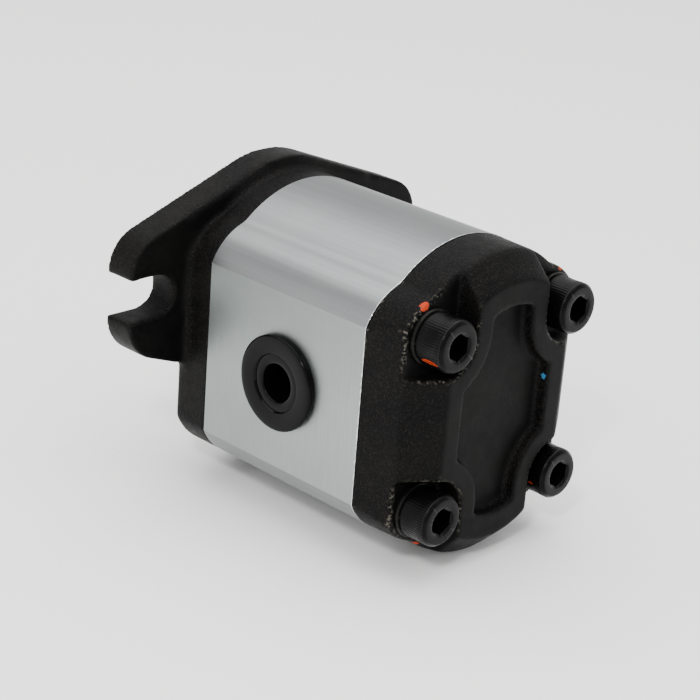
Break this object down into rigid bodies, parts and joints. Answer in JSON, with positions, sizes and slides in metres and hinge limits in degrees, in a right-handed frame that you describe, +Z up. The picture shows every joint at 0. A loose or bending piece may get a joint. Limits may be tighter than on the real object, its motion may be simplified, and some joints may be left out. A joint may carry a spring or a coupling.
{
  "type": "hydraulic gear pump",
  "caption": "External gear pump: flanged front cover, aluminium body with side ports, domed rear cover held by socket screws, keyed drive shaft and a meshed gear pair inside.",
  "frame": {"origin": "where the drive shaft's axis meets the mounting face of the flange", "axes": "+X along the drive shaft's axis, from the mounting face to the rear cover; +Z up, with the driven gear straight below; the -Y side carries the larger port"},
  "size_m": [0.1216, 0.1006, 0.0821],
  "materials": {
    "casting": "satin black paint over sand-cast iron",
    "body_metal": "extruded aluminium, milled port faces",
    "gear_steel": "case-hardened steel, ground journals",
    "block_metal": "machined aluminium",
    "bush_metal": "bronze-lined bush",
    "seal_rubber": "nitrile rubber",
    "backup_plastic": "natural nylon",
    "bright_steel": "bright steel",
    "black_steel": "black oxide steel",
    "plug_plastic": "glossy black polyethylene"
  },
  "bodies": {
    "housing": {"front_cover": "casting", "rear_cover": "casting", "pump_body": "body_metal", "front_bearing_block": "block_metal", "rear_bearing_block": "block_metal", "front_drive_bush": "bush_metal", "front_driven_bush": "bush_metal", "rear_drive_bush": "bush_metal", "rear_driven_bush": "bush_metal", "front_balance_seal": "seal_rubber", "rear_balance_seal": "seal_rubber", "front_body_seal": "seal_rubber", "rear_body_seal": "seal_rubber", "shaft_seal_lip": "seal_rubber", "front_backup_ring": "backup_plastic", "rear_backup_ring": "backup_plastic", "shaft_seal_case": "bright_steel", "seal_garter_spring": "bright_steel", "front_dowel_left": "bright_steel", "front_dowel_right": "bright_steel", "rear_dowel_left": "bright_steel", "rear_dowel_right": "bright_steel", "seal_circlip": "black_steel", "cover_screw_upper_left": "black_steel", "cover_screw_upper_right": "black_steel", "cover_screw_lower_left": "black_steel", "cover_screw_lower_right": "black_steel", "washer_upper_left": "black_steel", "washer_upper_right": "black_steel", "washer_lower_left": "black_steel", "washer_lower_right": "black_steel"},
    "drive_gear": {"drive_gear_shaft": "gear_steel", "shaft_key": "gear_steel"},
    "driven_gear": {"driven_gear_shaft": "gear_steel"},
    "left_plug": {"left_port_plug": "plug_plastic"},
    "right_plug": {"right_port_plug": "plug_plastic"}
  },
  "joints": [
    {"name": "drive_gear_spin", "type": "hinge", "parent": "housing", "child": "drive_gear", "pos_m": [0, 0, 0], "axis": [1, 0, 0], "continuous": true},
    {"name": "driven_gear_spin", "type": "hinge", "parent": "housing", "child": "driven_gear", "pos_m": [0, 0, -0.026], "axis": [1, 0, 0], "continuous": true},
    {"name": "left_plug_pull", "type": "slide", "parent": "housing", "child": "left_plug", "axis": [0, -1, 0], "range_m": [0, 0.012]},
    {"name": "right_plug_pull", "type": "slide", "parent": "housing", "child": "right_plug", "axis": [0, 1, 0], "range_m": [0, 0.012]}
  ],
  "couplings": [
    {"joint": "driven_gear_spin", "follows": "drive_gear_spin", "ratio": -1}
  ]
}
